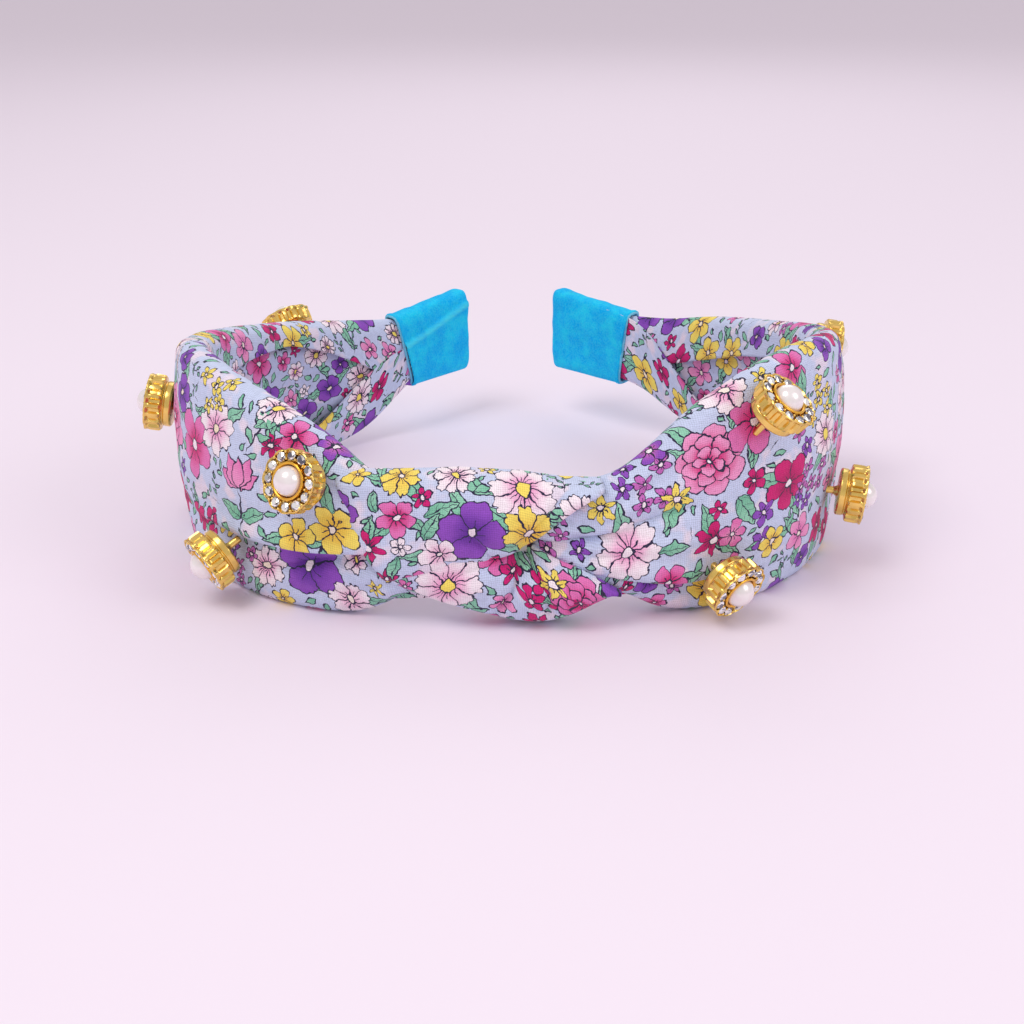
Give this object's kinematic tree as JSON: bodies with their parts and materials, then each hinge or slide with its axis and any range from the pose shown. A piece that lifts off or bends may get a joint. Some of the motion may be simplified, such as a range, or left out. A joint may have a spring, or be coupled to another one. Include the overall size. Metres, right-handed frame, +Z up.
{
  "type": "knotted headband",
  "caption": "Springy open hoop in gathered floral cotton with a front knot, velvet tip sleeves and jewelled pearl shank buttons along both sides.",
  "frame": {"origin": "middle of the bottom of the headband's box, on the surface it lies on", "axes": "+Z up off that surface, -Y out through the knot at the front, +Y towards the two open tips, +X to the right side seen from the knot"},
  "size_m": [0.16, 0.1418, 0.0493],
  "materials": {
    "cotton_print": "matte plain-weave cotton with a small floral print",
    "lining_print": "matte plain-weave cotton with a small floral print",
    "velvet": "short-pile turquoise velvet",
    "hoop_plastic": "satin white sprung plastic",
    "gold": "polished gold plating",
    "pearl": "pearl lustre",
    "crystal": "clear faceted stones"
  },
  "bodies": {
    "crown": {"hoop_crown": "hoop_plastic", "lining_crown": "lining_print", "knot_over_wrap": "cotton_print", "knot_under_wrap": "cotton_print"},
    "left_arm": {"hoop_left_arm": "hoop_plastic", "lining_left": "lining_print", "cover_left": "cotton_print", "velvet_sleeve_left": "velvet", "button_front_left_plate": "gold", "button_front_left_crown": "gold", "button_front_left_cup": "gold", "button_front_left_stones": "crystal", "button_front_left_pearl": "pearl", "button_low_left_plate": "gold", "button_low_left_crown": "gold", "button_low_left_cup": "gold", "button_low_left_stones": "crystal", "button_low_left_pearl": "pearl", "button_side_left_plate": "gold", "button_side_left_crown": "gold", "button_side_left_cup": "gold", "button_side_left_stones": "crystal", "button_side_left_pearl": "pearl", "button_back_left_plate": "gold", "button_back_left_crown": "gold", "button_back_left_cup": "gold", "button_back_left_stones": "crystal", "button_back_left_pearl": "pearl"},
    "right_arm": {"hoop_right_arm": "hoop_plastic", "lining_right": "lining_print", "cover_right": "cotton_print", "velvet_sleeve_right": "velvet", "button_low_right_plate": "gold", "button_low_right_crown": "gold", "button_low_right_cup": "gold", "button_low_right_stones": "crystal", "button_low_right_pearl": "pearl", "button_high_right_plate": "gold", "button_high_right_crown": "gold", "button_high_right_cup": "gold", "button_high_right_stones": "crystal", "button_high_right_pearl": "pearl", "button_side_right_plate": "gold", "button_side_right_crown": "gold", "button_side_right_cup": "gold", "button_side_right_stones": "crystal", "button_side_right_pearl": "pearl", "button_back_right_plate": "gold", "button_back_right_crown": "gold", "button_back_right_cup": "gold", "button_back_right_stones": "crystal", "button_back_right_pearl": "pearl"}
  },
  "joints": [
    {"name": "left_arm_flex", "type": "hinge", "parent": "crown", "child": "left_arm", "pos_m": [-0.02246, -0.06025, 0.0167], "axis": [0, 0, 1], "range_deg": [-4, 12], "stiffness_Nm_per_rad": 1.2},
    {"name": "right_arm_flex", "type": "hinge", "parent": "crown", "child": "right_arm", "pos_m": [0.02537, -0.06025, 0.0167], "axis": [0, 0, -1], "range_deg": [-4, 12], "stiffness_Nm_per_rad": 1.2}
  ]
}
